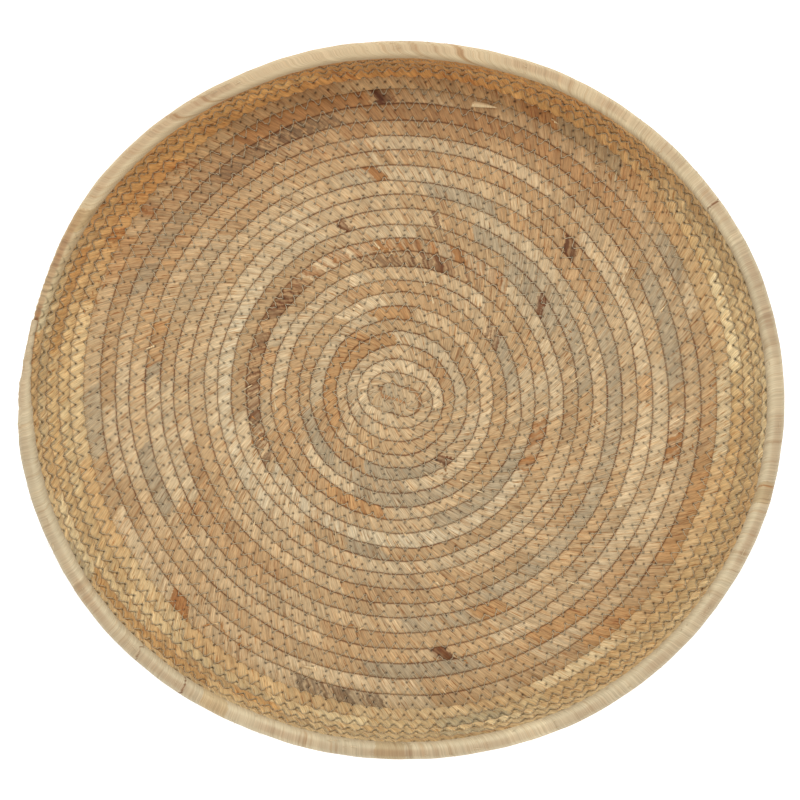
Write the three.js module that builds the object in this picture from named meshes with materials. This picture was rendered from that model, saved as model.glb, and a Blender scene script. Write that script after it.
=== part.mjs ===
// A coiled winnowing basket. One long husk cord starts in a folded oval, winds out clockwise (seen from
// above) as a flat floor, climbs a low flaring wall and ends in a thick rim with a tapered tail.
// Every turn is sewn to the one inside it by a zigzag lockstitch: a needle thread above and a bobbin thread
// below.
//
// Units are millimetres, +Z is up. A place on the basket is given by v, the number of turns counted out
// from the middle, and by the angle round it. The cord at turn count u lies at angle -2*PI*u and fills
// the surface from v = u - 1 to v = u, so neighbouring turns always share one edge.
import * as THREE from 'three';

// The cord and how many turns it makes.
const FLOOR_TURNS = 22;
const WALL_TURNS = 4;
const CORD_THICKNESS = 5.6;
const RIM_THICKNESS = 9;
const FIRST_PITCH = 6.5; // cord width beside the middle
const PITCH_GROWTH = 0.104; // how much wider each floor turn is than the last
const WALL_PITCH = 8.4;
const TAIL_ANGLE = THREE.MathUtils.degToRad(168); // where the cord ends, and where each node starts

// The plan of the floor: an oval middle that soon turns round, and a slightly oval, off-centre edge.
const MIDDLE_RADIUS = 10.4;
const MIDDLE_OVAL = 3;
const MIDDLE_OVAL_ANGLE = THREE.MathUtils.degToRad(-20);
const OVAL_FADE_TURNS = 2.2;
const FLOOR_OVAL = 1.8;
const FLOOR_OVAL_ANGLE = THREE.MathUtils.degToRad(-38);
const FLOOR_SHIFT = 4.3;
const FLOOR_SHIFT_ANGLE = THREE.MathUtils.degToRad(16);

// The wall: it flares most to the left and right, and stands up most at the front and back.
const BEND_START = 21;
const STEEPEST = THREE.MathUtils.degToRad(84);
const BEND_TURNS = 1.62;
const BEND_TURNS_SWING = 0.58;
const RIM_SPREAD = 1;
const RIM_SHIFT = 2.9; // the rim stands off-centre of the floor, towards this angle
const RIM_SHIFT_ANGLE = THREE.MathUtils.degToRad(238);
const RIM_OVAL = 1.9;
const RIM_OVAL_ANGLE = THREE.MathUtils.degToRad(16);
const RIM_CLIMB = 6; // turns from the start of the bend to the top of the rim

// The rim thickens soon after it starts and tapers in the tail.
const RIM_SWELL_TURNS = 0.07;
const TAIL_TURNS = 0.06;
const TAIL_END_WIDTH = 0.4;
const TAIL_END_THICKNESS = 3.0;

// The folded start: two legs of cord joined by a hairpin, drawn in the frame of the oval middle.
const FOLD_WIDTH = 6.8;
const FOLD_EASE = 0.6; // extra room between the fold and the turn round it
const FOLD_LEG_START = -6.8;
const FOLD_CENTRE = new THREE.Vector2(5.2, -1.5);
const FOLD_RADIUS = 3.8;
const FOLD_LEAVES_MIDDLE = 0.4; // the turn count from which the fold follows the spiral
const FOLD_STEPS = 30;

// The seam threads, each drawn as one plain strand along the groove that the zigzag crosses.
const THREAD_RADIUS = 0.25;
const THREAD_LIFT = 2.45;
const RIM_SEAM_LIFT = 0.9; // the groove under the thick rim is deeper

// Fineness and clearance.
const STEPS_PER_TURN = 24;
const PROFILE_STEP = 0.125;
const GAP = 0.3;
const FLAT_SHARE = 0.6; // share of the cord's half width that is flat, above and below

const FIRST_NODE_TURN = 1 - TAIL_ANGLE / (2 * Math.PI);
const LAST_TURN = FLOOR_TURNS + WALL_TURNS + 1 + FIRST_NODE_TURN;
const TAIL_START = LAST_TURN - TAIL_TURNS;

const HUSK = { roughness: 0.85, metalness: 0 };
const huskMaterial = new THREE.MeshStandardMaterial({ color: 0xc9a878, ...HUSK });
const rimMaterial = new THREE.MeshStandardMaterial({ color: 0xdcc8a0, ...HUSK });
const threadMaterial = new THREE.MeshStandardMaterial({ color: 0x9a8f7c, roughness: 0.5, metalness: 0 });

const angleAt = (u) => -2 * Math.PI * u;

// Distance of the floor's edge line v from the middle.
function floorRadius(v, angle) {
  const round = MIDDLE_RADIUS + FIRST_PITCH * v + (PITCH_GROWTH * v * v) / 2;
  const middleOval = MIDDLE_OVAL * Math.cos(2 * (angle - MIDDLE_OVAL_ANGLE));
  const fade = Math.exp(-((v / OVAL_FADE_TURNS) ** 2));
  const edgeOval = FLOOR_OVAL * Math.cos(2 * (angle - FLOOR_OVAL_ANGLE));
  const edgeShift = FLOOR_SHIFT * Math.cos(angle - FLOOR_SHIFT_ANGLE);
  return round + middleOval * fade + ((edgeOval + edgeShift) * v) / FLOOR_TURNS;
}

// The basket's mid-surface at v: x is the distance from the middle, y the height above the floor's mid-plane.
function surfaceAt(v, angle) {
  const point = new THREE.Vector2(floorRadius(Math.min(v, BEND_START), angle), 0);
  const climb = Math.max(0, v - BEND_START);
  const steps = Math.ceil(climb / PROFILE_STEP);
  const bend = BEND_TURNS + BEND_TURNS_SWING * Math.cos(2 * angle);
  const shift = RIM_SHIFT * Math.cos(angle - RIM_SHIFT_ANGLE);
  const oval = RIM_OVAL * Math.cos(2 * (angle - RIM_OVAL_ANGLE));
  point.x += ((RIM_SPREAD + shift + oval) * climb) / RIM_CLIMB;
  for (let i = 0; i < steps; i++) {
    const slope = STEEPEST * (1 - Math.exp((-climb * (i + 0.5)) / steps / bend));
    const length = (WALL_PITCH * climb) / steps;
    point.x += length * Math.cos(slope);
    point.y += length * Math.sin(slope);
  }
  return point;
}

// Turns a point of the upright section plane at this angle into a point in space.
function inSpace(flat, angle) {
  return new THREE.Vector3(flat.x * Math.cos(angle), flat.x * Math.sin(angle), flat.y + CORD_THICKNESS / 2);
}

// One closed solid through a row of rings of points, with flat ends.
function sweep(rings) {
  const sides = rings[0].length;
  const positions = rings.flat().flatMap((p) => [p.x, p.y, p.z]);
  const index = [];
  for (let ring = 0; ring < rings.length - 1; ring++) {
    for (let side = 0; side < sides; side++) {
      const a = ring * sides + side;
      const b = ring * sides + ((side + 1) % sides);
      index.push(a, b, a + sides, b, b + sides, a + sides);
    }
  }
  const last = (rings.length - 1) * sides;
  for (let side = 1; side < sides - 1; side++) {
    index.push(0, side + 1, side, last, last + side, last + side + 1);
  }
  const geometry = new THREE.BufferGeometry();
  geometry.setAttribute('position', new THREE.Float32BufferAttribute(positions, 3));
  geometry.setIndex(index);
  geometry.computeVertexNormals();
  return geometry;
}

// The cord's six-sided section, for a half width and half thickness. x runs out from the middle, y up.
function cordOutline(halfWidth, halfThickness) {
  const flat = halfWidth * FLAT_SHARE;
  return [
    new THREE.Vector2(halfWidth, 0),
    new THREE.Vector2(flat, halfThickness),
    new THREE.Vector2(-flat, halfThickness),
    new THREE.Vector2(-halfWidth, 0),
    new THREE.Vector2(-flat, -halfThickness),
    new THREE.Vector2(flat, -halfThickness),
  ];
}

// How wide (as a share of the pitch) and how thick the cord is at turn count u.
function cordSizeAt(u) {
  const rimStart = LAST_TURN - 1;
  const swell = THREE.MathUtils.smoothstep(u, rimStart, rimStart + RIM_SWELL_TURNS);
  const taper = THREE.MathUtils.smoothstep(u, TAIL_START, LAST_TURN);
  const full = THREE.MathUtils.lerp(CORD_THICKNESS, RIM_THICKNESS, swell);
  return {
    width: THREE.MathUtils.lerp(1, TAIL_END_WIDTH, taper),
    thickness: THREE.MathUtils.lerp(full, TAIL_END_THICKNESS, taper),
  };
}

// The cord's section at turn count u, as a ring of points in space.
function cordRing(u) {
  const angle = angleAt(u);
  const size = cordSizeAt(u);
  const inner = surfaceAt(u - 1, angle);
  const outer = surfaceAt(u - 1 + size.width, angle);
  const centre = inner.clone().add(outer).multiplyScalar(0.5);
  const out = outer.clone().sub(inner);
  const halfWidth = (out.length() - GAP) / 2;
  out.normalize();
  const up = new THREE.Vector2(-out.y, out.x);
  return cordOutline(halfWidth, size.thickness / 2).map((p) => {
    const flat = centre.clone().addScaledVector(out, p.x).addScaledVector(up, p.y);
    return inSpace(flat, angle);
  });
}

// The turn count one gap before u, measured along the cord.
function gapBefore(u) {
  return u - GAP / (2 * Math.PI * surfaceAt(u - 0.5, angleAt(u)).x);
}

// The cord from turn count `from` to `to`, stopping one gap short of the next length.
function cordLength(from, to) {
  const end = gapBefore(to);
  const steps = Math.max(3, Math.round((to - from) * STEPS_PER_TURN));
  const rings = [];
  for (let i = 0; i <= steps; i++) {
    rings.push(cordRing(from + ((end - from) * i) / steps));
  }
  return sweep(rings);
}

// The first fold: the cord's raw end, out along one leg, round a hairpin, back along the other leg,
// then up round the raw end to meet the first turn.
function foldedStart() {
  const upperLeg = FOLD_CENTRE.y + FOLD_RADIUS;
  const lowerLeg = FOLD_CENTRE.y - FOLD_RADIUS;
  const plan = [new THREE.Vector2(FOLD_LEG_START, upperLeg), new THREE.Vector2(FOLD_LEG_START / 3, upperLeg)];
  for (let degrees = 90; degrees >= -90; degrees -= 30) {
    const turn = THREE.MathUtils.degToRad(degrees);
    plan.push(new THREE.Vector2(Math.cos(turn), Math.sin(turn)).multiplyScalar(FOLD_RADIUS).add(FOLD_CENTRE));
  }
  plan.push(new THREE.Vector2(0, lowerLeg));
  const origin = new THREE.Vector2();
  plan.forEach((p) => p.rotateAround(origin, MIDDLE_OVAL_ANGLE));
  const spiralSteps = 6;
  for (let i = 0; i <= spiralSteps; i++) {
    const u = THREE.MathUtils.lerp(FOLD_LEAVES_MIDDLE, FIRST_NODE_TURN, i / spiralSteps);
    const radius = floorRadius(u, angleAt(u)) - FOLD_WIDTH / 2 - FOLD_EASE;
    plan.push(new THREE.Vector2(radius, 0).rotateAround(origin, angleAt(u)));
  }
  const points = plan.map((p) => new THREE.Vector3(p.x, p.y, CORD_THICKNESS / 2));
  const path = new THREE.CatmullRomCurve3(points, false, 'centripetal');
  const up = new THREE.Vector3(0, 0, 1);
  const rings = [];
  for (let i = 0; i < FOLD_STEPS; i++) {
    const t = i / FOLD_STEPS;
    const centre = path.getPointAt(t);
    const out = up.clone().cross(path.getTangentAt(t)).normalize();
    const outline = cordOutline((FOLD_WIDTH - GAP) / 2, CORD_THICKNESS / 2);
    rings.push(outline.map((p) => centre.clone().addScaledVector(out, p.x).addScaledVector(up, p.y)));
  }
  rings.push(cordRing(gapBefore(FIRST_NODE_TURN)));
  return sweep(rings);
}

// One seam thread along the groove between turns. side is 1 for the needle thread, which lies above, and
// -1 for the bobbin thread, which lies below.
function seamThread(side) {
  const from = FIRST_NODE_TURN;
  const to = LAST_TURN - 1;
  const steps = Math.round((to - from) * STEPS_PER_TURN);
  const corners = [90, 210, 330].map((degrees) => THREE.MathUtils.degToRad(degrees));
  const rings = [];
  for (let i = 0; i <= steps; i++) {
    const v = from + ((to - from) * i) / steps;
    const angle = angleAt(v);
    const out = surfaceAt(v + 0.5, angle).sub(surfaceAt(v - 0.5, angle)).normalize();
    const up = new THREE.Vector2(-out.y, out.x);
    const lift = THREAD_LIFT + RIM_SEAM_LIFT * THREE.MathUtils.smoothstep(v, to - 1.1, to - 1);
    const centre = surfaceAt(v, angle).addScaledVector(up, side * lift);
    const ring = corners.map((corner) => {
      const point = centre.clone();
      point.addScaledVector(out, THREAD_RADIUS * Math.cos(corner));
      point.addScaledVector(up, side * THREAD_RADIUS * Math.sin(corner));
      return inSpace(point, angle);
    });
    rings.push(side > 0 ? ring : ring.reverse());
  }
  return sweep(rings);
}

const basket = new THREE.Group();

function addNode(name, geometry, material) {
  const mesh = new THREE.Mesh(geometry, material);
  mesh.name = name;
  basket.add(mesh);
}

addNode('cord_start_fold', foldedStart(), huskMaterial);
for (let turn = 1; turn <= FLOOR_TURNS + WALL_TURNS; turn++) {
  const onFloor = turn <= FLOOR_TURNS;
  const label = onFloor ? String(turn).padStart(2, '0') : String(turn - FLOOR_TURNS);
  const from = FIRST_NODE_TURN + turn - 1;
  addNode(`${onFloor ? 'floor' : 'wall'}_turn_${label}`, cordLength(from, from + 1), huskMaterial);
}
addNode('rim_turn', cordLength(LAST_TURN - 1, TAIL_START), rimMaterial);
addNode('cord_tail', cordLength(TAIL_START, LAST_TURN), rimMaterial);
addNode('needle_thread', seamThread(1), threadMaterial);
addNode('bobbin_thread', seamThread(-1), threadMaterial);

// The origin is under the middle of the whole basket, on the surface that it stands on.
const bounds = new THREE.Box3().setFromObject(basket);
const middle = bounds.getCenter(new THREE.Vector3());
basket.position.set(-middle.x, -middle.y, -bounds.min.z);

export default basket;
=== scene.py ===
"""A coiled husk winnowing basket, seen from straight above.

One twisted husk cord winds outwards clockwise. A place on the basket is given by v, the turns counted
out from the middle, and by the angle round it. The cord at turn count u lies at angle -2*pi*u and fills
the surface from v = u - 1 to v = u. Lengths are in millimetres until a mesh is made.
"""
import math
from types import SimpleNamespace

import bpy
import numpy as np
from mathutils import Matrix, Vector


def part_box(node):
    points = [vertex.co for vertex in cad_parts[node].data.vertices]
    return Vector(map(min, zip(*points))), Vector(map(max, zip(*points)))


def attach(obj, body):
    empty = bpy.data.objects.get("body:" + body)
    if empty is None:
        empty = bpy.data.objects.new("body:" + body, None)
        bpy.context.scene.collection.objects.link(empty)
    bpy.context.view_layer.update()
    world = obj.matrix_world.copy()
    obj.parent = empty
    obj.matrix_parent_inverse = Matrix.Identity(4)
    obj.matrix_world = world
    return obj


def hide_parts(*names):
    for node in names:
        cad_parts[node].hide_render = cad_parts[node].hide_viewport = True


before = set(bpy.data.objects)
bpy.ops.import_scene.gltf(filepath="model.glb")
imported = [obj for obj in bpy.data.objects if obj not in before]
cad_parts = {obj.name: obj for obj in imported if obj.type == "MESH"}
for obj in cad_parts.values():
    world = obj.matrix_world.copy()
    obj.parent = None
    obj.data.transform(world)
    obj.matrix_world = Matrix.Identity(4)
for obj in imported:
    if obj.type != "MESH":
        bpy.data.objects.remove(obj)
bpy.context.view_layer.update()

# ---------------------------------------------------------------- the basket's plan, as in the CAD part
FLOOR_TURNS = 22
WALL_TURNS = 4
CORD_THICKNESS = 5.6
RIM_THICKNESS = 9.0
FIRST_PITCH = 6.5
PITCH_GROWTH = 0.104
WALL_PITCH = 8.4
TAIL_ANGLE = math.radians(168)

MIDDLE_RADIUS = 10.4
MIDDLE_OVAL = 3.0
MIDDLE_OVAL_ANGLE = math.radians(-20)
OVAL_FADE_TURNS = 2.2
FLOOR_OVAL = 1.8
FLOOR_OVAL_ANGLE = math.radians(-38)
FLOOR_SHIFT = 4.3
FLOOR_SHIFT_ANGLE = math.radians(16)

BEND_START = 21
STEEPEST = math.radians(84)
BEND_TURNS = 1.62
BEND_TURNS_SWING = 0.58
RIM_SPREAD = 1.0
RIM_SHIFT = 2.9
RIM_SHIFT_ANGLE = math.radians(238)
RIM_OVAL = 1.9
RIM_OVAL_ANGLE = math.radians(16)
RIM_CLIMB = 6

RIM_SWELL_TURNS = 0.07
TAIL_TURNS = 0.06
TAIL_END_WIDTH = 0.4
TAIL_END_THICKNESS = 3.0

FOLD_LEG_START = -9.0
FOLD_CENTRE = (5.2, -1.5)
FOLD_RADIUS = 3.8
FOLD_WIDTH = 7.8
FOLD_LEAVES_MIDDLE = 0.4
FOLD_STITCHES = 9

FIRST_TURN = 1 - TAIL_ANGLE / (2 * math.pi)
LAST_TURN = FLOOR_TURNS + WALL_TURNS + 1 + FIRST_TURN
TAIL_START = LAST_TURN - TAIL_TURNS

# ---------------------------------------------------------------- the make of the cord and its stitches
RING_STEP = 0.5  # spacing of the cord's rings
TOP_STEPS = 26  # mesh steps across the upper side of the cord, and across the lower
UNDER_STEPS = 12
FLOOR_POWER = 4.2  # how square the cord's section is: 2 is an ellipse
WALL_POWER = 3.0
RIM_POWER = 2.15
OVERLAP = 0.25  # how far neighbouring turns press into each other
WALL_SECTION = (21.2, 23)  # the turns over which the cord's section changes from the floor's to the wall's

STITCH = 7.5  # length of one zigzag
HOLE_OUT = 0.2  # the needle holes on the outer turn, as a share of its width from the seam
HOLE_IN = 0.4  # and on the inner turn
THREAD_RADIUS = 0.175
SEAM_PULL = 0.16  # how far the stitches pull a wall seam from side to side
FIBRE_ANGLE = math.radians(35)  # how far the twisted fibres lean from across the cord
FIBRE_LEAN = math.tan(FIBRE_ANGLE)
RIM_LEAN = 0.5  # the lean of the rim's fibres, and on the side where its twist is long
RIM_LONG_LEAN = 3.0
RIM_LONG_SIDE = math.radians(120)

# How the stitches shape the cord. A reach is a distance from the thread or from the middle of a hole.
PUFF_REACH = 1.5
PUFF_HEIGHT = 0.3
PUFF_SINK = 0.26  # how far the sewn cord is pressed down before it puffs up between stitches
WALL_PUFF = 0.25  # what the wall adds to its puffs and grooves
GROOVE_REACH = 0.42
GROOVE_DEPTH = 0.22
HOLE_REACH = 0.5
HOLE_DEPTH = 0.9
HOLE_SHADE_REACH = 0.56  # how far the dark of a hole reaches
FAR = 9.0  # farther from any stitch than its dent reaches

# The seams' hand-made unevenness: waves in a turn, and their size.
WOBBLES = ((2.3, 0.3), (4.7, 0.25), (9.1, 0.2), (17.3, 0.14), (31.7, 0.09), (63.1, 0.06))

rng = np.random.default_rng(27)
wave_phases = rng.uniform(0, 2 * math.pi, 24)
lattice = rng.uniform(-1, 1, 65536)


def noise(x, seed=0):
    """Smooth noise from -1 to 1 along a line, one new value for each whole number."""
    cell = np.floor(x).astype(np.int64)
    t = x - cell
    t = t * t * (3 - 2 * t)
    a = lattice[(cell * 7 + seed * 977) % len(lattice)]
    b = lattice[((cell + 1) * 7 + seed * 977) % len(lattice)]
    return a + (b - a) * t


def smoothstep(x, low, high):
    t = np.clip((x - low) / (high - low), 0, 1)
    return t * t * (3 - 2 * t)


def floor_radius(v, angle):
    round_part = MIDDLE_RADIUS + FIRST_PITCH * v + PITCH_GROWTH * v * v / 2
    oval = MIDDLE_OVAL * np.cos(2 * (angle - MIDDLE_OVAL_ANGLE)) * np.exp(-((v / OVAL_FADE_TURNS) ** 2))
    edge = FLOOR_OVAL * np.cos(2 * (angle - FLOOR_OVAL_ANGLE))
    edge = edge + FLOOR_SHIFT * np.cos(angle - FLOOR_SHIFT_ANGLE)
    return round_part + oval + edge * v / FLOOR_TURNS


def wobble(v):
    """How far each seam strays from its even spiral."""
    total = np.zeros_like(v)
    for i, (per_turn, size) in enumerate(WOBBLES):
        total += size * np.sin(2 * math.pi * per_turn * v + wave_phases[i])
    return total * smoothstep(v, 1, 4)


def surface_at(v, angle):
    """Distance from the middle and height of the basket's mid-surface."""
    x = floor_radius(np.minimum(v, BEND_START), angle) + wobble(v)
    y = 0.25 * np.sin(2 * math.pi * 5.3 * v + wave_phases[7]) * smoothstep(v, 20, 23)
    climb = np.maximum(v - BEND_START, 0)
    bend = BEND_TURNS + BEND_TURNS_SWING * np.cos(2 * angle)
    shift = RIM_SHIFT * np.cos(angle - RIM_SHIFT_ANGLE)
    oval = RIM_OVAL * np.cos(2 * (angle - RIM_OVAL_ANGLE))
    x = x + (RIM_SPREAD + shift + oval) * climb / RIM_CLIMB
    steps = 40
    for i in range(steps):
        slope = STEEPEST * (1 - np.exp(-climb * (i + 0.5) / steps / bend))
        x = x + WALL_PITCH * climb / steps * np.cos(slope)
        y = y + WALL_PITCH * climb / steps * np.sin(slope)
    return x, y


def cad_turn_box(turn):
    """The middle of the box of a floor turn's plan, with the spiral's middle at zero."""
    u = FIRST_TURN + turn - 1 + np.arange(25) / 24
    angle = -2 * math.pi * u
    r = floor_radius(u, angle)
    return (np.ptp(r * np.cos(angle)) / 2 + (r * np.cos(angle)).min(),
            np.ptp(r * np.sin(angle)) / 2 + (r * np.sin(angle)).min())


low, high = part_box("floor_turn_12")
plan_middle = cad_turn_box(12)
MIDDLE_X = (low[0] + high[0]) / 2 * 1000 - plan_middle[0]
MIDDLE_Y = (low[1] + high[1]) / 2 * 1000 - plan_middle[1]

# ---------------------------------------------------------------- camera, looking straight down
CAMERA_HEIGHT = 1.2
FLOOR_VIEW_WIDTH = 0.4352  # what the picture spans at the basket's floor
camera_data = bpy.data.cameras.new("camera")
camera_data.sensor_width = 36
camera_data.lens = 36 * CAMERA_HEIGHT / FLOOR_VIEW_WIDTH
camera = bpy.data.objects.new("camera", camera_data)
CAMERA_ASIDE = 0.0016  # metres to the right of the middle of the spiral, and as many down the picture
camera.location = (MIDDLE_X / 1000 + CAMERA_ASIDE, MIDDLE_Y / 1000 - CAMERA_ASIDE,
                   CAMERA_HEIGHT + CORD_THICKNESS / 1000)
bpy.context.scene.collection.objects.link(camera)
bpy.context.scene.camera = camera


# ---------------------------------------------------------------- lengths along the cord and the seams
def in_space(x, y, angle):
    return np.stack([x * np.cos(angle), x * np.sin(angle), y + CORD_THICKNESS / 2], -1)


def length_table(v):
    """Distance along the seam line v, from its start."""
    angle = -2 * math.pi * v
    points = in_space(*surface_at(v, angle), angle)
    return np.concatenate([[0], np.cumsum(np.linalg.norm(np.diff(points, axis=0), axis=1))])


seam_turns = np.linspace(FIRST_TURN - 1.2, LAST_TURN + 0.2, 9000)
seam_lengths = length_table(seam_turns)


def seam_length(v):
    return np.interp(v, seam_turns, seam_lengths)


def stitch_count(v):
    """Stitches sewn along the seam as far as v: whole numbers are outer holes, halves are inner ones."""
    length = seam_length(v)
    return length / STITCH + 0.16 * noise(length / 31, 3) + 0.1 * noise(length / 11, 4)


def stitch_drift(count):
    """How far the zigzag strays across the seam."""
    return 0.035 * noise(count * 0.37, 5) + 0.025 * noise(count * 1.3, 6)


def zigzag(count):
    """Where the thread is across the seam: 0 on the seam, in turns."""
    swing = 2 * np.abs(count - np.round(count))
    return HOLE_OUT + stitch_drift(count) - (HOLE_OUT + HOLE_IN) * swing


def seam_wave(v):
    """How far the stitches pull the wall's seams from side to side."""
    sewn = smoothstep(v, BEND_START, BEND_START + 1.5) * (1 - smoothstep(v, LAST_TURN - 2.03, LAST_TURN - 2))
    return SEAM_PULL * sewn * np.cos(2 * math.pi * stitch_count(v))


def cord_size(u):
    swell = smoothstep(u, LAST_TURN - 1, LAST_TURN - 1 + RIM_SWELL_TURNS)
    taper = smoothstep(u, TAIL_START, LAST_TURN)
    thickness = CORD_THICKNESS + (RIM_THICKNESS - CORD_THICKNESS) * swell
    thickness = thickness + (TAIL_END_THICKNESS - thickness) * taper
    return 1 + (TAIL_END_WIDTH - 1) * taper, thickness, swell


# ---------------------------------------------------------------- colours of the husk strips
def linear(red, green, blue):
    c = np.array([red, green, blue]) / 255
    return np.where(c <= 0.04045, c / 12.92, ((c + 0.055) / 1.055) ** 2.4)


STRAW = linear(206, 176, 130)
LIGHT = linear(214, 188, 144)
TAN = linear(198, 164, 116)
AMBER = linear(196, 159, 110)
ORANGE = linear(192, 148, 94)
BROWN = linear(170, 118, 64)
DARK = linear(112, 64, 20)
GREY = linear(186, 165, 128)
GREYBROWN = linear(140, 116, 84)
PALE = linear(220, 200, 160)
RIM_PALE = linear(208, 188, 150)
RIM_GOLD = linear(198, 172, 128)
# The painted shade in the crevice between two turns
PAINTED_SEAM_SHADE = linear(136, 78, 30)
FLOOR_TONE = np.array([0.81, 0.80, 0.82])
WALL_TONE = np.array([1.05, 1.09, 1.055])
SHADED_BROWN_SIDE = math.radians(98)  # the outer turns are browner and darker on this side: partly the husk's own colour, partly painted shade
SHADED_BROWN_TURNS = (17, 19.5)  # the turns over which that sets in
# What that browner colour and painted shade multiply the floor's colour and the wall's by
SHADED_BROWN_FLOOR = np.array([0.83, 0.70, 0.57])
SHADED_BROWN_WALL = np.array([1.0, 0.73, 0.46])
RIM_TONE = np.array([0.90, 0.92, 0.95])
STAIN = np.array([0.62, 0.42, 0.25])  # what a brown streak does to the colour under it
# The painted shade in a needle hole
PAINTED_HOLE_SHADE = linear(28, 12, 4)

FLOOR_MIX = ((STRAW, 0.38), (LIGHT, 0.2), (TAN, 0.22), (AMBER, 0.1),
             (ORANGE, 0.03), (BROWN, 0.01), (GREY, 0.06))
WALL_MIX = ((STRAW, 0.38), (LIGHT, 0.06), (TAN, 0.36), (AMBER, 0.13),
            (ORANGE, 0.03), (BROWN, 0.01), (GREY, 0.03))
RIM_MIX = ((RIM_PALE, 0.7), (PALE, 0.2), (RIM_GOLD, 0.1))
WALL_MIX_START = 22.2  # in turns
STRIP_SHAPE = 3.0  # the strips' lengths follow a gamma distribution of this shape and scale in millimetres
STRIP_SCALE = 13.0
SHORT_STRIP = 6  # a marked strip shorter than this, in millimetres, covers what is under it more fully
COLOUR_STEP = 0.25  # spacing of the colour table along the cord

# Strips that stand out: from and to, in turns along the cord, and the colour.
MARKS = (
    (-0.6, 1.35, STRAW), (0.76, 0.84, GREY), (1.36, 1.5, LIGHT), (5.15, 5.17, DARK), (6.24, 6.39, GREY),
    (7.42, 7.58, AMBER), (7.90, 7.93, DARK), (7.93, 8.00, GREY), (9.42, 9.46, ORANGE), (9.72, 9.86, DARK),
    (10.03, 10.09, BROWN), (10.09, 10.42, PALE), (10.43, 10.65, DARK), (10.65, 10.88, BROWN),
    (11.91, 11.92, DARK), (12.39, 12.61, PALE), (12.703, 12.71, DARK), (12.788, 12.793, DARK),
    (12.90, 13.00, GREY), (14.93, 15.19, GREY), (15.71, 15.73, GREY), (15.885, 15.896, DARK),
    (16.20, 16.25, GREY), (16.74, 16.86, AMBER), (17.67, 17.74, AMBER), (18.22, 18.23, DARK),
    (19.01, 19.04, BROWN), (19.27, 19.42, TAN), (19.56, 19.64, GREY), (19.64, 19.72, GREYBROWN),
    (20.74, 20.75, DARK), (20.76, 20.78, PALE), (21.26, 21.31, GREYBROWN), (21.60, 21.61, BROWN),
    (21.63, 21.64, BROWN), (22.58, 22.59, BROWN), (26.8830, 26.8836, BROWN), (26.9160, 26.9168, DARK),
    (27.0410, 27.0418, BROWN), (27.2470, 27.2500, GREY), (27.3550, 27.3556, DARK), (27.3790, 27.3796, DARK),
)


def strip_colours(fibre):
    """The base colour at each distance along the cord, with sharp changes from strip to strip."""
    end = seam_lengths[-1] + 200
    edges = np.cumsum(rng.gamma(STRIP_SHAPE, STRIP_SCALE, 1200)) - 100
    edges = edges[edges < end]
    which = np.searchsorted(edges, fibre)
    colours = np.zeros((len(edges) + 1, 3))
    for i in range(len(colours)):
        at = edges[min(i, len(edges) - 1)]
        turn = np.interp(at, seam_lengths, seam_turns) + 0.5
        mix = RIM_MIX if turn > LAST_TURN - 0.99 else WALL_MIX if turn > WALL_MIX_START else FLOOR_MIX
        pick = rng.choice(len(mix), p=[share for _, share in mix])
        colours[i] = mix[pick][0] * rng.uniform(0.9, 1.08)
    return colours[which]


def marked(fibre, tint):
    """The colours with the strips that stand out over them: brown and long dark ones cover more thinly."""
    for start, stop, colour in MARKS:
        a, b = np.interp((start - 0.5, stop - 0.5), seam_turns, seam_lengths)
        inside = (fibre > a) & (fibre < b)
        near_there = fibre[inside]
        thin = colour is BROWN or colour is DARK and b - a > 2 * SHORT_STRIP
        base = 0.5 if thin else 0.75
        share = base + 0.4 * noise(near_there / 5, 9) + 0.55 * noise(near_there / 1.1, 10)
        share = np.clip(share + 0.3 * (b - a < SHORT_STRIP), 0, 1)[:, None]
        tint[inside] = tint[inside] * (1 - share) + colour * share
    return tint


colour_places = np.arange(-60, seam_lengths[-1] + 120, COLOUR_STEP)
cord_colours = marked(colour_places, strip_colours(colour_places))


def colour_of(fibre):
    """Colour along the cord: the same strips for every piece."""
    index = np.clip(((fibre - colour_places[0]) / COLOUR_STEP).astype(int), 0, len(colour_places) - 1)
    return cord_colours[index]


# ---------------------------------------------------------------- materials
def new_material(name):
    material = bpy.data.materials.new(name)
    material.use_nodes = True
    nodes, links = material.node_tree.nodes, material.node_tree.links
    return material, nodes, links, nodes["Principled BSDF"]


def grain_noise(nodes, links, source, along, across, detail):
    """Noise stretched along the fibres: along and across are its counts per millimetre."""
    mapping = nodes.new("ShaderNodeMapping")
    mapping.inputs["Scale"].default_value = (across, along, 1)
    links.new(source, mapping.inputs["Vector"])
    texture = nodes.new("ShaderNodeTexNoise")
    texture.inputs["Scale"].default_value = 1
    texture.inputs["Detail"].default_value = detail
    texture.inputs["Roughness"].default_value = 0.6
    links.new(mapping.outputs["Vector"], texture.inputs["Vector"])
    return texture.outputs["Fac"]


def remap(nodes, links, source, low, high, out_low, out_high):
    node = nodes.new("ShaderNodeMapRange")
    for name, value in (("From Min", low), ("From Max", high), ("To Min", out_low), ("To Max", out_high)):
        node.inputs[name].default_value = value
    links.new(source, node.inputs["Value"])
    return node.outputs["Result"]


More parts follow.
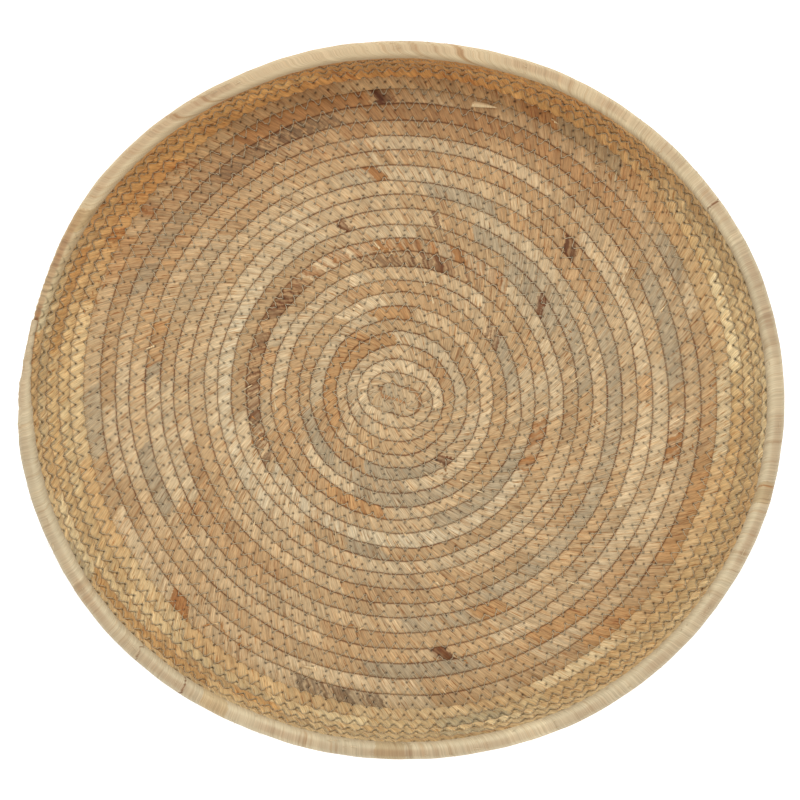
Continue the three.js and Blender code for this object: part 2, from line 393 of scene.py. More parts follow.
def husk_material(name, contrast, warmth, crease_shade):
    """contrast is the swing of the fibres' lightness, warmth the share of browner streaks, and crease_shade
    the share of painted shade in the husk's creases.
    """
    material, nodes, links, shader = new_material(name)
    grain = nodes.new("ShaderNodeAttribute")
    grain.attribute_name = "grain"
    tint = nodes.new("ShaderNodeAttribute")
    tint.attribute_name = "tint"
    fine = grain_noise(nodes, links, grain.outputs["Vector"], 0.15, 2.2, 4)
    broad = grain_noise(nodes, links, grain.outputs["Vector"], 0.05, 0.45, 2)

    light = remap(nodes, links, fine, 0.32, 0.68, 0.98 - contrast, 0.98 + contrast)
    shade = nodes.new("ShaderNodeMix")
    shade.data_type = "RGBA"
    shade.blend_type = "MULTIPLY"
    shade.inputs["Factor"].default_value = 1
    links.new(tint.outputs["Color"], shade.inputs["A"])
    links.new(light, shade.inputs["B"])

    warm = nodes.new("ShaderNodeMix")
    warm.data_type = "RGBA"
    warm.blend_type = "MULTIPLY"
    warm.inputs["B"].default_value = (0.86, 0.72, 0.55, 1)
    links.new(remap(nodes, links, broad, 0.5, 0.72, 0, warmth), warm.inputs["Factor"])
    links.new(shade.outputs["Result"], warm.inputs["A"])

    # Painted shade in the creases along the fibres.
    crease_shading = nodes.new("ShaderNodeMix")
    crease_shading.data_type = "RGBA"
    crease_shading.blend_type = "MULTIPLY"
    crease_shading.inputs["B"].default_value = (0.58, 0.35, 0.15, 1)
    crease = grain_noise(nodes, links, grain.outputs["Vector"], 0.1, 1.25, 3)
    links.new(remap(nodes, links, crease, 0.57, 0.645, 0, crease_shade), crease_shading.inputs["Factor"])
    links.new(warm.outputs["Result"], crease_shading.inputs["A"])
    links.new(crease_shading.outputs["Result"], shader.inputs["Base Color"])

    links.new(remap(nodes, links, fine, 0.3, 0.7, 0.78, 0.55), shader.inputs["Roughness"])
    shader.inputs["Specular IOR Level"].default_value = 0.35
    shader.inputs["Sheen Weight"].default_value = 0.12
    shader.inputs["Sheen Roughness"].default_value = 0.5

    bump = nodes.new("ShaderNodeBump")
    bump.inputs["Strength"].default_value = 0.55
    bump.inputs["Distance"].default_value = 0.00022
    links.new(fine, bump.inputs["Height"])
    links.new(bump.outputs["Normal"], shader.inputs["Normal"])
    return material


def thread_material(name, colour):
    material, nodes, links, shader = new_material(name)
    grain = nodes.new("ShaderNodeAttribute")
    grain.attribute_name = "grain"
    twist = grain_noise(nodes, links, grain.outputs["Vector"], 1.5, 3, 1)
    mix = nodes.new("ShaderNodeMix")
    mix.data_type = "RGBA"
    mix.inputs["A"].default_value = (*(colour * 0.7), 1)
    mix.inputs["B"].default_value = (*(colour * 1.25), 1)
    links.new(twist, mix.inputs["Factor"])
    links.new(mix.outputs["Result"], shader.inputs["Base Color"])
    links.new(remap(nodes, links, twist, 0.3, 0.7, 0.4, 0.6), shader.inputs["Roughness"])
    return material


HUSK = husk_material("husk", 0.36, 0.7, 0.95)
RIM_HUSK = husk_material("rim_husk", 0.19, 0.15, 0.2)
THREAD = thread_material("thread", linear(186, 170, 138))


# ---------------------------------------------------------------- mesh building
def make_piece(name, points, faces, material, grain=None, tint=None, nodes=()):
    mesh = bpy.data.meshes.new(name)
    points = np.asarray(points, dtype=np.float64)
    shifted = (points + np.array([MIDDLE_X, MIDDLE_Y, 0])) / 1000
    faces = np.asarray(faces, dtype=np.int32)
    mesh.vertices.add(len(points))
    mesh.vertices.foreach_set("co", shifted.astype(np.float32).ravel())
    mesh.loops.add(faces.size)
    mesh.loops.foreach_set("vertex_index", faces.ravel())
    mesh.polygons.add(len(faces))
    mesh.polygons.foreach_set("loop_start", np.arange(0, faces.size, faces.shape[1], dtype=np.int32))
    mesh.update(calc_edges=True)
    mesh.polygons.foreach_set("use_smooth", np.ones(len(faces), dtype=bool))
    if grain is not None:
        layer = mesh.attributes.new("grain", "FLOAT_VECTOR", "POINT")
        layer.data.foreach_set("vector", grain.astype(np.float32).ravel())
    if tint is not None:
        layer = mesh.attributes.new("tint", "FLOAT_COLOR", "POINT")
        rgba = np.concatenate([tint, np.ones((len(tint), 1))], 1)
        layer.data.foreach_set("color", rgba.astype(np.float32).ravel())
    mesh.materials.append(material)
    mesh.validate()
    piece = bpy.data.objects.new(name, mesh)
    bpy.context.scene.collection.objects.link(piece)
    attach(piece, "root")
    if nodes:
        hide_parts(*nodes)
    return piece


def tube_faces(rings, sides):
    i = np.arange(rings - 1)[:, None]
    j = np.arange(sides)[None, :]
    k = (j + 1) % sides
    quads = np.stack([i * sides + j, (i + 1) * sides + j, (i + 1) * sides + k, i * sides + k], -1)
    return quads.reshape(-1, 4)


CAP_SHADE = 0.6  # a cut end is darker than the cord


def with_caps(points, faces, sides, grain, tint):
    """Adds a flat end cap at each end of a tube, as a fan of thin quads round a middle point."""
    rings = len(points) // sides
    middles = np.stack([points[:sides].mean(0), points[-sides:].mean(0)])
    first, last = len(points), len(points) + 1
    j = np.arange(0, sides, 2)
    k, m = (j + 1) % sides, (j + 2) % sides
    start = np.stack([np.full_like(j, first), j, k, m], -1)
    base = (rings - 1) * sides
    stop = np.stack([np.full_like(j, last), base + m, base + k, base + j], -1)
    points = np.concatenate([points, middles])
    faces = np.concatenate([faces, start, stop])
    grain = np.concatenate([grain, grain[[0, -1]]])
    tint = np.concatenate([tint, tint[[0, -1]] * CAP_SHADE])
    return points, faces, grain, tint


# The section's corners run from the inner edge over the top to the outer edge, then back underneath.
section_angle = np.concatenate([
    np.linspace(0, math.pi, TOP_STEPS, endpoint=False),
    np.linspace(math.pi, 2 * math.pi, UNDER_STEPS, endpoint=False),
])
SIDES = len(section_angle)


def superellipse(power):
    c, s = np.cos(section_angle), np.sin(section_angle)
    return -c, np.sign(s) * np.maximum(1 - np.abs(c) ** power, 0) ** (1 / power)


def section_shape(up_wall, full):
    """The section's corners, squarer on the floor and rounder up the wall and in the rim."""
    flat_x, flat_y = superellipse(FLOOR_POWER)
    wall_x, wall_y = superellipse(WALL_POWER)
    round_x, round_y = superellipse(RIM_POWER)
    s_x = (flat_x * (1 - up_wall) + wall_x * up_wall) * (1 - full) + round_x * full
    s_y = (flat_y * (1 - up_wall) + wall_y * up_wall) * (1 - full) + round_y * full
    return s_x, s_y


def cord_grid(u_from, u_to):
    """The cord between two turn counts as a grid, rings by corners, with what its shape and colour need."""
    g = SimpleNamespace()
    table = np.linspace(u_from, u_to, 400)
    lengths = seam_length(table - 0.5)
    count = max(8, int((lengths[-1] - lengths[0]) / RING_STEP))
    g.u = np.interp(np.linspace(lengths[0], lengths[-1], count + 1), lengths, table)
    g.angle = -2 * math.pi * g.u
    width_share, g.thickness, g.swell = cord_size(g.u)
    g.ax, g.ay = surface_at(g.u - 1, g.angle)
    g.bx, g.by = surface_at(g.u - 1 + width_share, g.angle)
    g.reach = np.hypot(g.bx - g.ax, g.by - g.ay)
    g.width_share = width_share[:, None]
    g.pitch = g.reach[:, None]
    g.up_wall = smoothstep(g.u, *WALL_SECTION)[:, None]
    g.full = g.swell[:, None]
    g.s_x, g.s_y = section_shape(g.up_wall, g.full)
    g.across = (g.s_x + 1) / 2 * g.width_share
    g.top = g.s_y >= 0

    arc = seam_length(g.u - 0.5)[:, None]
    around = np.where(g.top, g.across * g.pitch, (2 - g.across) * g.pitch)
    long_twist = smoothstep(np.cos(g.angle - RIM_LONG_SIDE), 0.35, 0.95)[:, None]
    rim_lean = RIM_LEAN + (RIM_LONG_LEAN - RIM_LEAN) * long_twist
    g.fibre = arc + around * (FIBRE_LEAN + (rim_lean - FIBRE_LEAN) * g.full)
    g.along = around / math.cos(FIBRE_ANGLE) + arc * 0.15
    return g


def add_stitches(g):
    """Adds the grooves, holes and puffs that the zigzags make along the inner seam and the outer one."""
    lean = 1 / math.hypot(1, 2 * (HOLE_OUT + HOLE_IN) * 8.2 / STITCH)
    near = np.full_like(g.across, FAR)
    g.pit = np.full_like(g.across, FAR)
    for seam, offset, hole, phase in ((g.u - 1, 0.0, HOLE_OUT, 0.0), (g.u, 1.0, -HOLE_IN, 0.5)):
        number = stitch_count(seam)
        local = g.across - offset
        stray = stitch_drift(number)[:, None]
        near = np.minimum(near, np.abs(local - zigzag(number)[:, None]) * g.pitch * lean)
        from_hole = (number - phase - np.round(number - phase))[:, None] * STITCH
        g.pit = np.minimum(g.pit, np.hypot(from_hole, (local - hole - stray) * g.pitch))
    sewn = (1 - g.swell)[:, None]
    sewn = np.where(g.across < 0.5, np.maximum(sewn, 0.35), sewn)
    g.sewn = sewn * (g.u < LAST_TURN - 0.002)[:, None]
    g.groove = np.exp(-((near / GROOVE_REACH) ** 2)) * g.sewn
    g.hole = np.exp(-((g.pit / HOLE_REACH) ** 2)) * g.sewn
    g.puff = 1 - np.exp(-((np.minimum(near, g.pit) / PUFF_REACH) ** 2))


def cord_points(g):
    """The grid's points, with the relief of the husk and the dents and puffs of the stitches."""
    relief = (0.13 * noise(g.fibre * 0.75, 11) + 0.1 * noise(g.fibre * 1.9, 12)
              + 0.13 * noise(g.fibre * 0.21, 13))
    relief = relief * (1 - 0.75 * g.full)
    softness = 0.6 + 0.4 * g.up_wall
    lift = relief + (PUFF_HEIGHT * g.puff - PUFF_SINK) * g.sewn * softness
    lift = lift - GROOVE_DEPTH * g.groove * softness - HOLE_DEPTH * g.hole
    lift = lift + (WALL_PUFF * g.puff - WALL_PUFF * g.groove) * g.sewn * g.up_wall
    lift = lift * np.where(g.top, 1.0, 0.55)
    lift = lift * np.clip(np.abs(g.s_y) * 1.6, 0, 1)

    px = g.s_x * ((g.reach + OVERLAP) / 2)[:, None]
    px = px + seam_wave(g.u - 1)[:, None] * (1 - g.across) ** 2 + seam_wave(g.u)[:, None] * g.across ** 2
    py = g.s_y * (g.thickness / 2)[:, None] + np.sign(g.s_y) * lift
    px = px + g.s_x * np.abs(g.s_x) * relief * 0.25 * g.full
    cx, cy = (g.ax + g.bx) / 2, (g.ay + g.by) / 2
    ox, oy = (g.bx - g.ax) / g.reach, (g.by - g.ay) / g.reach
    x = cx[:, None] + ox[:, None] * px - oy[:, None] * py
    y = cy[:, None] + oy[:, None] * px + ox[:, None] * py
    points = in_space(x, y, np.broadcast_to(g.angle[:, None], x.shape)).reshape(-1, 3)
    points[:, 2] = np.maximum(points[:, 2], 0.0)
    return points


def cord_tone(g):
    """What the colour is multiplied by: the tone of the floor, the wall or the rim, and on one side a browner
    colour with painted shade.
    """
    level = g.up_wall * (1 - g.full)
    tone = FLOOR_TONE + (WALL_TONE - FLOOR_TONE) * level + (RIM_TONE - FLOOR_TONE) * g.full
    # On that side the outer turns are made browner and darker: partly their own colour, partly painted shade.
    shaded_brown_side = smoothstep(np.cos(g.angle - SHADED_BROWN_SIDE), 0.25, 0.85)[:, None]
    warm = SHADED_BROWN_FLOOR + (SHADED_BROWN_WALL - SHADED_BROWN_FLOOR) * g.up_wall
    tone = tone * (1 + (warm - 1) * shaded_brown_side * smoothstep(g.u, *SHADED_BROWN_TURNS)[:, None] * (1 - 0.8 * g.full))
    return np.repeat(tone, SIDES, axis=0)


def cord_tint(g):
    """The colour at each point: the strips, then painted shade along the seams, in the holes and in the
    grooves, then mottling, stains and tone.
    """
    fibre, along = g.fibre.ravel(), g.along.ravel()
    ragged = 1.3 * noise(along * 0.45, 23) + 0.5 * noise(along * 1.6, 24)
    tint = colour_of(fibre + ragged)

    # Painted shade along the seams, in the crevice between turns.
    edge = np.minimum(g.across, g.width_share - g.across).ravel() * g.reach.mean()
    seam_width = 0.5 + 0.15 * noise(fibre / 9, 16)
    seam_shade = np.exp(-((edge / seam_width) ** 2)) * np.repeat(1 - 0.6 * g.swell, SIDES)
    seam_shade = seam_shade * (0.6 + 0.4 * noise(fibre / 14, 15))
    tint = tint + (PAINTED_SEAM_SHADE - tint) * np.clip(seam_shade, 0, 1)[:, None]

    # Painted shade in the needle holes.
    dark = np.exp(-((g.pit.ravel() / HOLE_SHADE_REACH) ** 2)) * 0.97 * g.sewn.ravel()
    tint = tint + (PAINTED_HOLE_SHADE - tint) * dark[:, None]
    # Painted shade in the grooves that the thread presses in, deeper on the wall.
    tint = tint * (1 - (0.08 + 0.3 * g.up_wall) * g.groove).ravel()[:, None]

    flat_fibre = fibre + 0.5 * noise(along * 0.3, 19)
    mottle = 0.11 * noise(flat_fibre * 0.45, 17) + 0.13 * noise(flat_fibre * 1.3, 18)
    mottle = 1 + mottle * np.repeat(1 - 0.8 * g.swell, SIDES)
    tint = tint * mottle[:, None]
    stain = np.clip(noise(flat_fibre * 0.9, 21) * 1.6 - 0.75, 0, 1)
    stain = stain * (0.5 + 0.5 * noise(along * 0.21, 22))
    tint = tint + (tint * STAIN - tint) * np.clip(stain, 0, 1)[:, None]
    return tint * cord_tone(g)


def cord_mesh(u_from, u_to):
    """The cord between two turn counts: its points, its faces, its grain and its colours."""
    g = cord_grid(u_from, u_to)
    add_stitches(g)
    grain = np.stack([g.fibre.ravel(), g.along.ravel(), np.zeros(g.fibre.size)], -1)
    return cord_points(g), tube_faces(len(g.u), SIDES), grain, cord_tint(g)


def add_cord(name, u_from, u_to, slot):
    points, faces, grain, tint = cord_mesh(u_from, u_to)
    points, faces, grain, tint = with_caps(points, faces, SIDES, grain, tint)
    material = RIM_HUSK if slot == "rim_husk" else HUSK
    return make_piece(name, points, faces, material, grain, tint, nodes=(name,))


for turn in range(1, FLOOR_TURNS + WALL_TURNS + 1):
    on_floor = turn <= FLOOR_TURNS
    label = f"floor_turn_{turn:02d}" if on_floor else f"wall_turn_{turn - FLOOR_TURNS}"
    add_cord(label, FIRST_TURN + turn - 1, FIRST_TURN + turn, "husk")
add_cord("rim_turn", LAST_TURN - 1, TAIL_START, "rim_husk")
add_cord("cord_tail", TAIL_START, LAST_TURN, "rim_husk")


# ---------------------------------------------------------------- the folded start
def smooth_path(points, step):
    """A Catmull-Rom curve through the points, with evenly spaced samples."""
    p = np.concatenate([[2 * points[0] - points[1]], points, [2 * points[-1] - points[-2]]])
    t = np.linspace(0, 1, 40, endpoint=False)[:, None]
    out = []
    for i in range(len(points) - 1):
        a, b, c, d = p[i:i + 4]
        out.append(0.5 * (2 * b + (c - a) * t + (2 * a - 5 * b + 4 * c - d) * t ** 2
                          + (3 * b - a - 3 * c + d) * t ** 3))
    out = np.concatenate(out + [points[-1:]])
    lengths = np.concatenate([[0], np.cumsum(np.linalg.norm(np.diff(out, axis=0), axis=1))])
    at = np.linspace(0, lengths[-1], max(4, int(lengths[-1] / step)))
    return np.stack([np.interp(at, lengths, out[:, i]) for i in range(out.shape[1])], -1), at


def along_oval(x, y):
    """A place given along and across the oval middle, as x and y of the basket."""
    c, s = math.cos(MIDDLE_OVAL_ANGLE), math.sin(MIDDLE_OVAL_ANGLE)
    return x * c - y * s, x * s + y * c


def fold_path():
    """The middle line of the folded start: one leg, the bend, and the other leg out to the first turn."""
    upper, lower = FOLD_CENTRE[1] + FOLD_RADIUS, FOLD_CENTRE[1] - FOLD_RADIUS
    plan = [(FOLD_LEG_START, upper), (FOLD_LEG_START / 3, upper)]
    for degrees in range(90, -91, -30):
        turn = math.radians(degrees)
        plan.append((FOLD_CENTRE[0] + FOLD_RADIUS * math.cos(turn),
                     FOLD_CENTRE[1] + FOLD_RADIUS * math.sin(turn)))
    plan.append((0, lower))
    plan = [along_oval(x, y) for x, y in plan]
    for u in np.linspace(FOLD_LEAVES_MIDDLE, FIRST_TURN + 0.012, 7):
        angle = -2 * math.pi * u
        radius = float(floor_radius(u, angle)) - FOLD_WIDTH / 2
        plan.append((radius * math.cos(angle), radius * math.sin(angle)))
    return smooth_path(np.array(plan), RING_STEP)


def fold_stitches():
    """The holes of the zigzag that closes the gap between the fold's legs."""
    number = np.arange(FOLD_STITCHES)
    x = FOLD_LEG_START + 1 + 2.1 * number + 0.5 * noise(number * 1.7, 41)
    y = FOLD_CENTRE[1] + np.where(number % 2 == 0, 2.3, -2.2) + 0.7 * noise(number * 1.3, 42)
    return np.stack(along_oval(x, y), -1)


def fold_holes():
    """All the needle holes in the fold: its own zigzag's, and those of the seam round it."""
    table = np.linspace(FIRST_TURN - 1.1, FIRST_TURN + 0.1, 2000)
    counts = stitch_count(table)
    number = np.arange(math.ceil(counts[0]), math.floor(counts[-1])) + 0.5
    seam = np.interp(number, counts, table)
    radius = floor_radius(seam + zigzag(number), -2 * math.pi * seam)
    around = np.stack([radius * np.cos(2 * math.pi * seam), -radius * np.sin(2 * math.pi * seam)], -1)
    return np.concatenate([fold_stitches(), around])


def add_fold():
    """The cord's folded start, with its own stitches and the holes of the seam round it."""
    path, at = fold_path()
    tangent = np.gradient(path, axis=0)
    tangent /= np.linalg.norm(tangent, axis=1)[:, None]
    out = np.stack([-tangent[:, 1], tangent[:, 0]], -1)
    s_x, s_y = superellipse(WALL_POWER)
    fibre_start = seam_length(FIRST_TURN - 0.5) - at[-1]
    across = (s_x[None, :] + 1) / 2 * FOLD_WIDTH
    around = np.where(s_y >= 0, across, 2 * FOLD_WIDTH - across)
    fibre = fibre_start + at[:, None] + around * FIBRE_LEAN
    grain = np.stack([fibre.ravel(), (around + 0 * fibre).ravel() * 1.2, np.zeros(fibre.size)], -1)
    relief = 0.2 * noise(fibre * 0.75, 11) + 0.12 * noise(fibre * 1.9, 12)
    ends = np.minimum(1, 0.72 + at / 3)
    px = s_x[None, :] * (FOLD_WIDTH + OVERLAP) / 2 * ends[:, None]
    py = s_y[None, :] * CORD_THICKNESS / 2 * ends[:, None] + np.sign(s_y)[None, :] * (relief - 0.1)
    x = path[:, 0][:, None] + out[:, 0][:, None] * px
    y = path[:, 1][:, None] + out[:, 1][:, None] * px
    points = np.stack([x, y, np.maximum(py + CORD_THICKNESS / 2, 0)], -1).reshape(-1, 3)
    tint = colour_of(fibre.ravel())
    # Painted shade along the fold's edges, as along the seams.
    edge = np.minimum(across, FOLD_WIDTH - across)
    shade = np.exp(-((edge / 0.6) ** 2)) * 0.8
    tint = (tint + (PAINTED_SEAM_SHADE - tint) * np.broadcast_to(shade, fibre.shape).ravel()[:, None]) * FLOOR_TONE
    nearest = np.full(len(points), FAR)
    for hole_x, hole_y in fold_holes():
        nearest = np.minimum(nearest, np.hypot(points[:, 0] - hole_x, points[:, 1] - hole_y))
    pit = np.exp(-((nearest / HOLE_REACH) ** 2))
    points[:, 2] -= pit * 0.7 * (points[:, 2] > CORD_THICKNESS / 2)
    # Painted shade in the needle holes.
    tint = tint + (PAINTED_HOLE_SHADE - tint) * pit[:, None] * 0.9
    tint = tint * (1 + 0.16 * noise(fibre.ravel() * 1.3, 18))[:, None]
    points, faces, grain, tint = with_caps(points, tube_faces(len(path), SIDES), SIDES, grain, tint)
    make_piece("cord_start_fold", points, faces, HUSK, grain, tint, nodes=("cord_start_fold",))


add_fold()


CORE_LENGTH = 32.0  # the tangle reaches in under the cord round it
CORE_WIDTH = 22.0


def add_fold_core():
    """The tangle of husk ends between the legs of the fold, a little lower than the cord round it."""
    columns, rows = 48, 14
    turn = 2 * math.pi * np.arange(columns) / columns
    rise = np.linspace(0, math.pi / 2, rows)
    t, e = np.meshgrid(turn, rise)
    x = CORE_LENGTH / 2 * np.cos(t) * np.cos(e)
    y = CORE_WIDTH / 2 * np.sin(t) * np.cos(e)
    fibre = x * 0.9 + y * 1.3
    z = 0.8 + 3.9 * np.sin(e) ** 0.3 + 0.4 * noise(fibre * 0.9, 31) + 0.3 * noise(y * 1.7 + 50, 32)
    points = np.stack([*along_oval(x, y), z], -1).reshape(-1, 3)
    # The tangle's colour is half amber and half the painted seam shade, as it lies low between the cords.
    tint = np.repeat((0.5 * PAINTED_SEAM_SHADE + 0.5 * AMBER)[None, :], len(points), 0)
    tint = tint * (1 + 0.4 * noise(fibre.ravel() * 1.1, 33))[:, None]
    grain = np.stack([fibre.ravel() + 40, (y - x).ravel(), 0 * fibre.ravel()], -1)
    make_piece("fold_core", points, tube_faces(rows, columns), HUSK, grain, tint)


add_fold_core()


# ---------------------------------------------------------------- the seam threads
def tube(path, up, radius, sides=6):
    """A round thread along a path: its points, its faces and its grain."""
    tangent = np.gradient(path, axis=0)
    tangent /= np.linalg.norm(tangent, axis=1)[:, None] + 1e-9
    side = np.cross(tangent, up)
    side /= np.linalg.norm(side, axis=1)[:, None] + 1e-9
    over = np.cross(side, tangent)
    ring = 2 * math.pi * np.arange(sides) / sides
    points = (path[:, None, :] + radius * (np.cos(ring)[None, :, None] * side[:, None, :]
                                           + np.sin(ring)[None, :, None] * over[:, None, :]))
    along = np.concatenate([[0], np.cumsum(np.linalg.norm(np.diff(path, axis=0), axis=1))])
    grain = np.stack(np.broadcast_arrays(ring[None, :] * radius + along[:, None] * 0.6,
                                         along[:, None], 0 * along[:, None]), -1)
    return points.reshape(-1, 3), tube_faces(len(path), sides), grain.reshape(-1, 3)


THREAD_STEPS = 8  # points of the thread from one hole to the next
DIVE_DEPTH = 1.1  # how deep the thread goes in at a hole of the seam
DIVE_REACH = 0.16  # how far that reaches from the hole, as a share of half the way to the next


def thread_path(v_from, v_to, side):
    """The zigzag over one stretch of seam. side is 1 above and -1 below."""
    table = np.linspace(v_from, v_to, 6000)
    counts = stitch_count(table)
    first, last = math.ceil(counts[0] * 2), math.floor(counts[-1] * 2)
    count = np.arange(first * THREAD_STEPS, last * THREAD_STEPS + 1) / (2 * THREAD_STEPS)
    seam = np.interp(count, counts, table)
    angle = -2 * math.pi * seam
    v = seam + zigzag(count)
    x, y = surface_at(v, angle)
    x2, y2 = surface_at(seam + 0.5, angle)
    x1, y1 = surface_at(seam - 0.5, angle)
    length = np.hypot(x2 - x1, y2 - y1)
    ox, oy = (x2 - x1) / length, (y2 - y1) / length
    dive = np.abs(2 * count - np.round(2 * count)) * 2
    rim_seam = smoothstep(seam, LAST_TURN - 2, LAST_TURN - 2 + RIM_SWELL_TURNS)
    local = zigzag(count)
    height = CORD_THICKNESS / 2 + 0.02 - 0.45 * np.exp(-((local / 0.1) ** 2))
    height = height - DIVE_DEPTH * np.exp(-((dive / DIVE_REACH) ** 2))
    height = height + rim_seam * np.where(local > 0, 1.1 * local / HOLE_OUT, 0)
    x = x - oy * height * side
    y = y + ox * height * side
    up = np.stack([-oy * np.cos(angle), -oy * np.sin(angle), ox], -1) * side
    path = in_space(x, y, angle)
    path[:, 2] = np.maximum(path[:, 2], THREAD_RADIUS)
    return path, up


THREAD_PARTS = (("inner", FIRST_TURN - 0.95, 12.5), ("outer", 12.5, 19.0), ("edge", 19.0, 22.5),
                ("wall", 22.5, TAIL_START - 1.0))
for node, side in (("needle_thread", 1), ("bobbin_thread", -1)):
    for label, start, stop in THREAD_PARTS:
        path, up = thread_path(start, stop, side)
        points, faces, grain = tube(path, up, THREAD_RADIUS)
        make_piece(f"{node}_{label}", points, faces, THREAD, grain, nodes=(node,))


def add_fold_thread():
    """The zigzag over the fold, part of the needle thread."""
    holes = fold_stitches()
    at = np.arange((len(holes) - 1) * THREAD_STEPS + 1) / THREAD_STEPS
    dive = 2 * np.abs(at - np.round(at))
    z = CORD_THICKNESS + 0.12 - 1.2 * np.exp(-((dive / DIVE_REACH) ** 2))
    index = np.arange(len(holes))
    path = np.stack([np.interp(at, index, holes[:, 0]), np.interp(at, index, holes[:, 1]), z], -1)
    points, faces, grain = tube(path, np.array([0.0, 0.0, 1.0]), THREAD_RADIUS)
    make_piece("needle_thread_fold", points, faces, THREAD, grain, nodes=("needle_thread",))


add_fold_thread()


# ---------------------------------------------------------------- loose fibres and flakes
def blade(start, direction, up, length, width, curl):
    """A thin curling sliver of husk: its points, from root to tip, and its faces."""
    steps = 6
    t = np.linspace(0, 1, steps + 1)[:, None]
    side = np.cross(direction, up)
    spine = start + direction * length * t + up * curl * t * t + side * 0.4 * curl * t ** 3
    half = width / 2 * (1 - t ** 2) + 0.03
    thick = up * 0.06
    rows = np.stack([spine - side * half, spine + side * half, spine + side * half + thick,
                     spine - side * half + thick], 1)
    return rows.reshape(-1, 3), tube_faces(steps + 1, 4)


def add_blades(name, blades, colour):
    """Joins slivers into one piece, each of its own lightness."""
    points, faces, grain, tint = [], [], [], []
    count = 0
    for p, f in blades:
        points.append(p)
        faces.append(f + count)
        count += len(p)
        shade = rng.uniform(0.75, 1.15)
        tint.append(np.repeat(colour[None, :] * shade, len(p), 0))
        grain.append(np.stack([p[:, 0] * 2 + count, p[:, 1] * 0.5, 0 * p[:, 0]], -1))
    make_piece(name, np.concatenate(points), np.concatenate(faces), HUSK,
               np.concatenate(grain), np.concatenate(tint))


def surface_point(v, turn_angle, lift):
    """A point above the basket's mid-surface, and the directions out along it, up from it and round it."""
    v, angle = np.array([v]), np.array([turn_angle])
    (x0,), (y0,) = surface_at(v - 0.3, angle)
    (x1,), (y1,) = surface_at(v + 0.3, angle)
    length = math.hypot(x1 - x0, y1 - y0)
    ox, oy = (x1 - x0) / length, (y1 - y0) / length
    x, y = (x0 + x1) / 2 - oy * lift, (y0 + y1) / 2 + ox * lift
    c, s = math.cos(turn_angle), math.sin(turn_angle)
    point = np.array([x * c, x * s, y + CORD_THICKNESS / 2])
    return point, np.array([ox * c, ox * s, oy]), np.array([-oy * c, -oy * s, ox]), np.array([-s, c, 0.0])


# The large loose flakes: place in turns and degrees, length, width and how far the tip lifts.
BIG_FLAKES = ((20.3, 76, 15, 3.2, 1.6), (21.2, 62, 8, 2.0, 1.0),
              (19.6, 253, 7, 1.6, 1.2), (8.3, 186, 6, 1.2, 1.0))

# Where the husk is torn: place and spread, both in turns and degrees, and how many slivers it has.
CRUMPLED = (
    (21.7, 150, 0.7, 9, 30), (21.4, 134, 0.6, 6, 16), (22.2, 118, 0.6, 8, 20), (21.9, 162, 0.5, 5, 12),
    (10.1, 193, 0.5, 6, 14), (12.2, 20, 0.4, 4, 8), (20.3, 235, 0.4, 7, 14), (21.6, 228, 0.4, 3, 10),
    (18.3, 283, 0.4, 5, 12), (5.6, 302, 0.3, 5, 7), (9.9, 95, 0.4, 6, 9), (20.6, 46, 0.4, 3, 8),
    (22.4, 40, 0.5, 3, 8), (16.3, 259, 0.3, 2, 5), (13.2, 350, 0.4, 4, 8), (19.7, 352, 0.3, 4, 8),
)
RIM_FIBRE_COUNT = 150
FLOOR_FLAKE_COUNT = 70


def crumpled_husk():
    """Short curled slivers at the torn places."""
    for v, degrees, turns_spread, degrees_spread, count in CRUMPLED:
        for _ in range(count):
            near_v = v + turns_spread * rng.uniform(-1, 1)
            angle = math.radians(degrees + degrees_spread * rng.uniform(-1, 1))
            point, out, up, round_it = surface_point(near_v, angle, CORD_THICKNESS / 2 - 0.3)
            direction = out * rng.uniform(-1, 1) + round_it * rng.uniform(-1, 1) + up * 0.25
            direction /= np.linalg.norm(direction)
            length, width, curl = rng.uniform(1.5, 4.5), rng.uniform(0.3, 1.3), rng.uniform(-0.2, 0.8)
            yield blade(point, direction, up, length, width, curl)


def rim_fibres():
    """Fine fibre ends that stand a little proud of the rim."""
    for _ in range(RIM_FIBRE_COUNT):
        u = rng.uniform(LAST_TURN - 0.9, TAIL_START)
        angle = -2 * math.pi * u
        point, out, up, round_it = surface_point(u - 0.5, angle, 0)
        turn = rng.uniform(-0.5, 2.6)
        away = -up * math.cos(turn) + out * math.sin(turn)
        start = point + away * (RIM_THICKNESS / 2 - 0.35)
        direction = round_it * rng.uniform(0.5, 1.0) + away * rng.uniform(0.15, 0.7)
        direction /= np.linalg.norm(direction)
        yield blade(start, direction, away, rng.uniform(2, 6), rng.uniform(0.12, 0.4), rng.uniform(-0.6, 0.9))


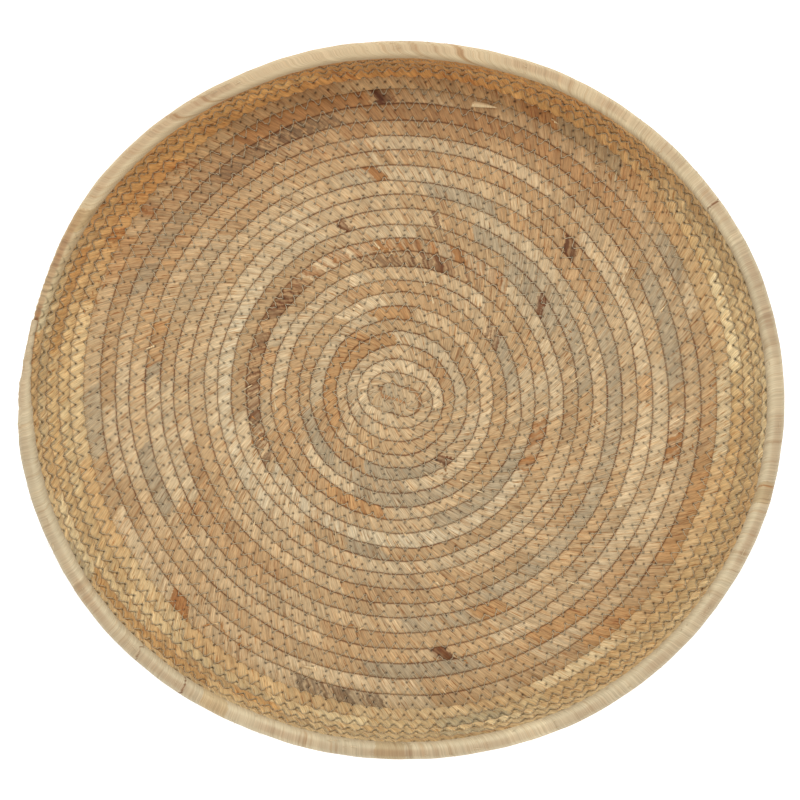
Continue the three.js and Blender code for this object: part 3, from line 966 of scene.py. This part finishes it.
def floor_flakes():
    """Loose slivers of husk lifted from the cord on the inside."""
    for v, degrees, length, width, lift in BIG_FLAKES:
        angle = math.radians(degrees)
        point, out, up, round_it = surface_point(v, angle, CORD_THICKNESS / 2 - 0.1)
        direction = -round_it + out * 0.1 + up * 0.05
        yield blade(point, direction / np.linalg.norm(direction), up, length, width, lift)
    for _ in range(FLOOR_FLAKE_COUNT):
        v = rng.uniform(3, 24.5)
        angle = rng.uniform(0, 2 * math.pi)
        frac = (-angle / (2 * math.pi)) % 1
        v = math.floor(v) + frac + 0.5 + rng.uniform(-0.2, 0.2)
        point, out, up, round_it = surface_point(v, angle, CORD_THICKNESS / 2 - 0.25)
        direction = out * 0.8 + round_it * 0.6 + up * rng.uniform(0.02, 0.12)
        direction = direction * rng.choice((-1, 1)) + up * 0.12
        direction /= np.linalg.norm(direction)
        yield blade(point, direction, up, rng.uniform(3, 8), rng.uniform(0.25, 1.2), rng.uniform(0.1, 0.9))


add_blades("rim_fibres", list(rim_fibres()), RIM_PALE)
add_blades("floor_flakes", list(floor_flakes()), LIGHT)
crumpled = list(crumpled_husk())
add_blades("crumpled_husk_pale", crumpled[::3], STRAW)
add_blades("crumpled_husk_brown", crumpled[1::3] + crumpled[2::3], BROWN)

# ---------------------------------------------------------------- floor and light
FLOOR_REACH = 6.0  # metres from the middle to each side of the studio floor
floor_mesh = bpy.data.meshes.new("studio_floor")
corners = [(x * FLOOR_REACH, y * FLOOR_REACH, 0) for x, y in ((-1, -1), (1, -1), (1, 1), (-1, 1))]
floor_mesh.from_pydata(corners, [], [(0, 1, 2, 3)])
studio_floor = bpy.data.objects.new("studio_floor", floor_mesh)
studio_floor.location.z = -0.0004  # just below the basket, so that their faces don't coincide
bpy.context.scene.collection.objects.link(studio_floor)
floor_material, _, _, floor_shader = new_material("studio_floor")
floor_shader.inputs["Base Color"].default_value = (0.9, 0.9, 0.9, 1)
floor_shader.inputs["Roughness"].default_value = 0.9
floor_shader.inputs["Emission Color"].default_value = (1, 1, 1, 1)
floor_shader.inputs["Emission Strength"].default_value = 0.45
floor_mesh.materials.append(floor_material)


def add_area(name, location, target, size, power):
    data = bpy.data.lights.new(name, "AREA")
    data.shape = "DISK"
    data.size = size
    data.energy = power
    light = bpy.data.objects.new(name, data)
    light.location = location
    direction = Vector(target) - Vector(location)
    light.rotation_euler = direction.to_track_quat("-Z", "Y").to_euler()
    bpy.context.scene.collection.objects.link(light)


add_area("key", (-0.1, 0.9, 1.3), (0, 0, 0), 0.8, 12)
add_area("fill", (0.2, -0.8, 1.5), (0, 0, 0), 1.2, 7.5)
world = bpy.data.worlds.new("world")
bpy.context.scene.world = world
world.use_nodes = True
world.node_tree.nodes["Background"].inputs["Color"].default_value = (1, 1, 1, 1)
world.node_tree.nodes["Background"].inputs["Strength"].default_value = 0.68
bpy.context.scene.view_settings.view_transform = "Standard"
